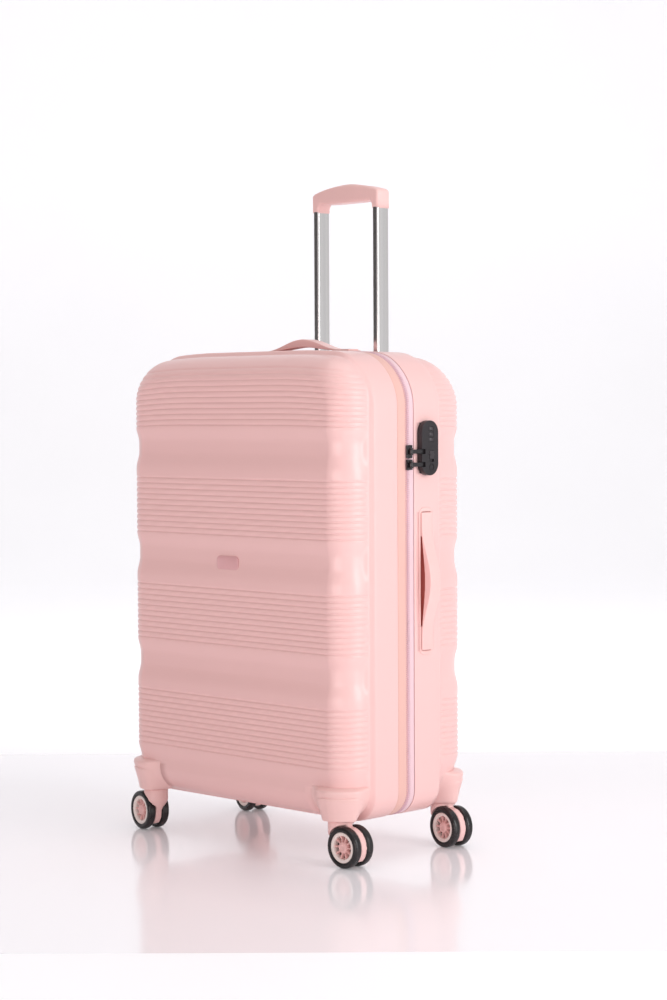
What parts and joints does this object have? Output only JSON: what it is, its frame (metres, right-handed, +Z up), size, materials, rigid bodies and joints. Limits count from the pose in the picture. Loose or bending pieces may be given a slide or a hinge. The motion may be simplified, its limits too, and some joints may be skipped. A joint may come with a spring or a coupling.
{
  "type": "hard shell suitcase on wheels",
  "caption": "Upright hard shell suitcase with a zip round its middle, a side lock, carry handles, an extending trolley handle and swivelling twin-wheel casters.",
  "frame": {"origin": "on the floor under the middle of the case, between the four casters", "axes": "+Z up, -Y towards the front face, +X towards the lock and the side handle"},
  "size_m": [0.5221, 0.294, 1.007],
  "materials": {
    "shell_plastic": "satin",
    "handle_plastic": "satin",
    "caster_plastic": "satin",
    "wheel_plastic": "satin",
    "badge_plastic": "gloss",
    "zip_tape": "matte",
    "lining_fabric": "matte",
    "black_plastic": "satin",
    "dial_plastic": "satin",
    "black_metal": "satin",
    "tube_metal": "satin",
    "steel": "satin",
    "tyre_rubber": "matte"
  },
  "bodies": {
    "case_back": {"back_shell": "shell_plastic", "back_zip": "zip_tape", "hinge_strip": "zip_tape", "back_lining": "lining_fabric", "packing_straps": "lining_fabric", "strap_buckle": "black_plastic", "trolley_outer_tubes": "tube_metal", "trolley_cup": "shell_plastic", "trolley_bracket": "black_plastic", "top_handle_base": "handle_plastic", "side_handle_base": "handle_plastic", "lock_body": "black_plastic", "zip_sliders": "black_metal", "caster_housing_back_right": "caster_plastic", "caster_housing_back_left": "caster_plastic"},
    "case_front": {"front_shell": "shell_plastic", "front_zip": "zip_tape", "front_lining": "lining_fabric", "divider_panel": "lining_fabric", "badge": "badge_plastic", "caster_housing_front_right": "caster_plastic", "caster_housing_front_left": "caster_plastic"},
    "trolley": {"trolley_inner_tubes": "tube_metal", "trolley_grip": "handle_plastic"},
    "trolley_release": {"trolley_button": "handle_plastic", "trolley_push_rods": "steel"},
    "trolley_pins": {"trolley_lock_pins": "steel"},
    "top_grip": {"top_handle": "handle_plastic"},
    "side_grip": {"side_handle": "handle_plastic"},
    "lock_release": {"lock_slide": "black_plastic"},
    "puller_upper": {"zip_puller_upper": "black_metal"},
    "puller_lower": {"zip_puller_lower": "black_metal"},
    "dial_1": {"lock_dial_1": "dial_plastic"},
    "dial_2": {"lock_dial_2": "dial_plastic"},
    "dial_3": {"lock_dial_3": "dial_plastic"},
    "caster_front_right": {"caster_fork_front_right": "caster_plastic", "caster_axle_front_right": "steel"},
    "wheel_front_right_near": {"wheel_rim_front_right_near": "wheel_plastic", "wheel_tyre_front_right_near": "tyre_rubber"},
    "wheel_front_right_far": {"wheel_rim_front_right_far": "wheel_plastic", "wheel_tyre_front_right_far": "tyre_rubber"},
    "caster_front_left": {"caster_fork_front_left": "caster_plastic", "caster_axle_front_left": "steel"},
    "wheel_front_left_near": {"wheel_rim_front_left_near": "wheel_plastic", "wheel_tyre_front_left_near": "tyre_rubber"},
    "wheel_front_left_far": {"wheel_rim_front_left_far": "wheel_plastic", "wheel_tyre_front_left_far": "tyre_rubber"},
    "caster_back_right": {"caster_fork_back_right": "caster_plastic", "caster_axle_back_right": "steel"},
    "wheel_back_right_near": {"wheel_rim_back_right_near": "wheel_plastic", "wheel_tyre_back_right_near": "tyre_rubber"},
    "wheel_back_right_far": {"wheel_rim_back_right_far": "wheel_plastic", "wheel_tyre_back_right_far": "tyre_rubber"},
    "caster_back_left": {"caster_fork_back_left": "caster_plastic", "caster_axle_back_left": "steel"},
    "wheel_back_left_near": {"wheel_rim_back_left_near": "wheel_plastic", "wheel_tyre_back_left_near": "tyre_rubber"},
    "wheel_back_left_far": {"wheel_rim_back_left_far": "wheel_plastic", "wheel_tyre_back_left_far": "tyre_rubber"}
  },
  "joints": [
    {"name": "front_half_hinge", "type": "hinge", "parent": "case_back", "child": "case_front", "pos_m": [-0.258, -0.014, 0.4], "axis": [0, 0, -1], "range_deg": [0, 180]},
    {"name": "trolley_slide", "type": "slide", "parent": "case_back", "child": "trolley", "axis": [0, 0, 1], "range_m": [-0.258, 0]},
    {"name": "trolley_button_press", "type": "slide", "parent": "trolley", "child": "trolley_release", "axis": [0, 0, 1], "range_m": [-0.004, 0], "stiffness_N_per_m": 1500, "springref_m": 0.0005},
    {"name": "lock_pin_draw", "type": "slide", "parent": "trolley", "child": "trolley_pins", "axis": [0, 1, 0], "range_m": [0, 0.004]},
    {"name": "top_handle_lift", "type": "slide", "parent": "case_back", "child": "top_grip", "axis": [0, 0, 1], "range_m": [0, 0.008], "stiffness_N_per_m": 400, "springref_m": -0.003},
    {"name": "side_handle_lift", "type": "slide", "parent": "case_back", "child": "side_grip", "axis": [1, 0, 0], "range_m": [0, 0.008], "stiffness_N_per_m": 400, "springref_m": -0.001},
    {"name": "lock_release_slide", "type": "slide", "parent": "case_back", "child": "lock_release", "axis": [0, 0, -1], "range_m": [0, 0.004], "stiffness_N_per_m": 300, "springref_m": -0.001},
    {"name": "dial_1_turn", "type": "hinge", "parent": "case_back", "child": "dial_1", "pos_m": [0.2491, 0.027, 0.612], "axis": [0, 0, 1], "continuous": true},
    {"name": "dial_2_turn", "type": "hinge", "parent": "case_back", "child": "dial_2", "pos_m": [0.2491, 0.027, 0.62], "axis": [0, 0, 1], "continuous": true},
    {"name": "dial_3_turn", "type": "hinge", "parent": "case_back", "child": "dial_3", "pos_m": [0.2491, 0.027, 0.628], "axis": [0, 0, 1], "continuous": true},
    {"name": "zip_puller_upper_swing", "type": "hinge", "parent": "case_back", "child": "puller_upper", "pos_m": [0.2517, -0.012, 0.595], "axis": [0, 0, -1], "range_deg": [0, 160]},
    {"name": "zip_puller_lower_swing", "type": "hinge", "parent": "case_back", "child": "puller_lower", "pos_m": [0.2517, -0.012, 0.576], "axis": [0, 0, -1], "range_deg": [0, 160]},
    {"name": "caster_front_right_swivel", "type": "hinge", "parent": "case_front", "child": "caster_front_right", "pos_m": [0.204, -0.112, 0.06], "axis": [0, 0, 1], "continuous": true},
    {"name": "wheel_front_right_near_spin", "type": "hinge", "parent": "caster_front_right", "child": "wheel_front_right_near", "pos_m": [0.223, -0.112, 0.03], "axis": [0, 1, 0], "continuous": true},
    {"name": "wheel_front_right_far_spin", "type": "hinge", "parent": "caster_front_right", "child": "wheel_front_right_far", "pos_m": [0.223, -0.112, 0.03], "axis": [0, 1, 0], "continuous": true},
    {"name": "caster_front_left_swivel", "type": "hinge", "parent": "case_front", "child": "caster_front_left", "pos_m": [-0.204, -0.112, 0.06], "axis": [0, 0, 1], "continuous": true},
    {"name": "wheel_front_left_near_spin", "type": "hinge", "parent": "caster_front_left", "child": "wheel_front_left_near", "pos_m": [-0.22271, -0.1087, 0.03], "axis": [-0.1736, -0.9848, 0], "continuous": true},
    {"name": "wheel_front_left_far_spin", "type": "hinge", "parent": "caster_front_left", "child": "wheel_front_left_far", "pos_m": [-0.22271, -0.1087, 0.03], "axis": [-0.1736, -0.9848, 0], "continuous": true},
    {"name": "caster_back_right_swivel", "type": "hinge", "parent": "case_back", "child": "caster_back_right", "pos_m": [0.204, 0.107, 0.06], "axis": [0, 0, 1], "continuous": true},
    {"name": "wheel_back_right_near_spin", "type": "hinge", "parent": "caster_back_right", "child": "wheel_back_right_near", "pos_m": [0.22282, 0.10436, 0.03], "axis": [0.1392, 0.9903, 0], "continuous": true},
    {"name": "wheel_back_right_far_spin", "type": "hinge", "parent": "caster_back_right", "child": "wheel_back_right_far", "pos_m": [0.22282, 0.10436, 0.03], "axis": [0.1392, 0.9903, 0], "continuous": true},
    {"name": "caster_back_left_swivel", "type": "hinge", "parent": "case_back", "child": "caster_back_left", "pos_m": [-0.204, 0.107, 0.06], "axis": [0, 0, 1], "continuous": true},
    {"name": "wheel_back_left_near_spin", "type": "hinge", "parent": "caster_back_left", "child": "wheel_back_left_near", "pos_m": [-0.22244, 0.1116, 0.03], "axis": [-0.2419, -0.9703, 0], "continuous": true},
    {"name": "wheel_back_left_far_spin", "type": "hinge", "parent": "caster_back_left", "child": "wheel_back_left_far", "pos_m": [-0.22244, 0.1116, 0.03], "axis": [-0.2419, -0.9703, 0], "continuous": true}
  ],
  "couplings": [
    {"joint": "lock_pin_draw", "follows": "trolley_button_press", "ratio": -1}
  ]
}
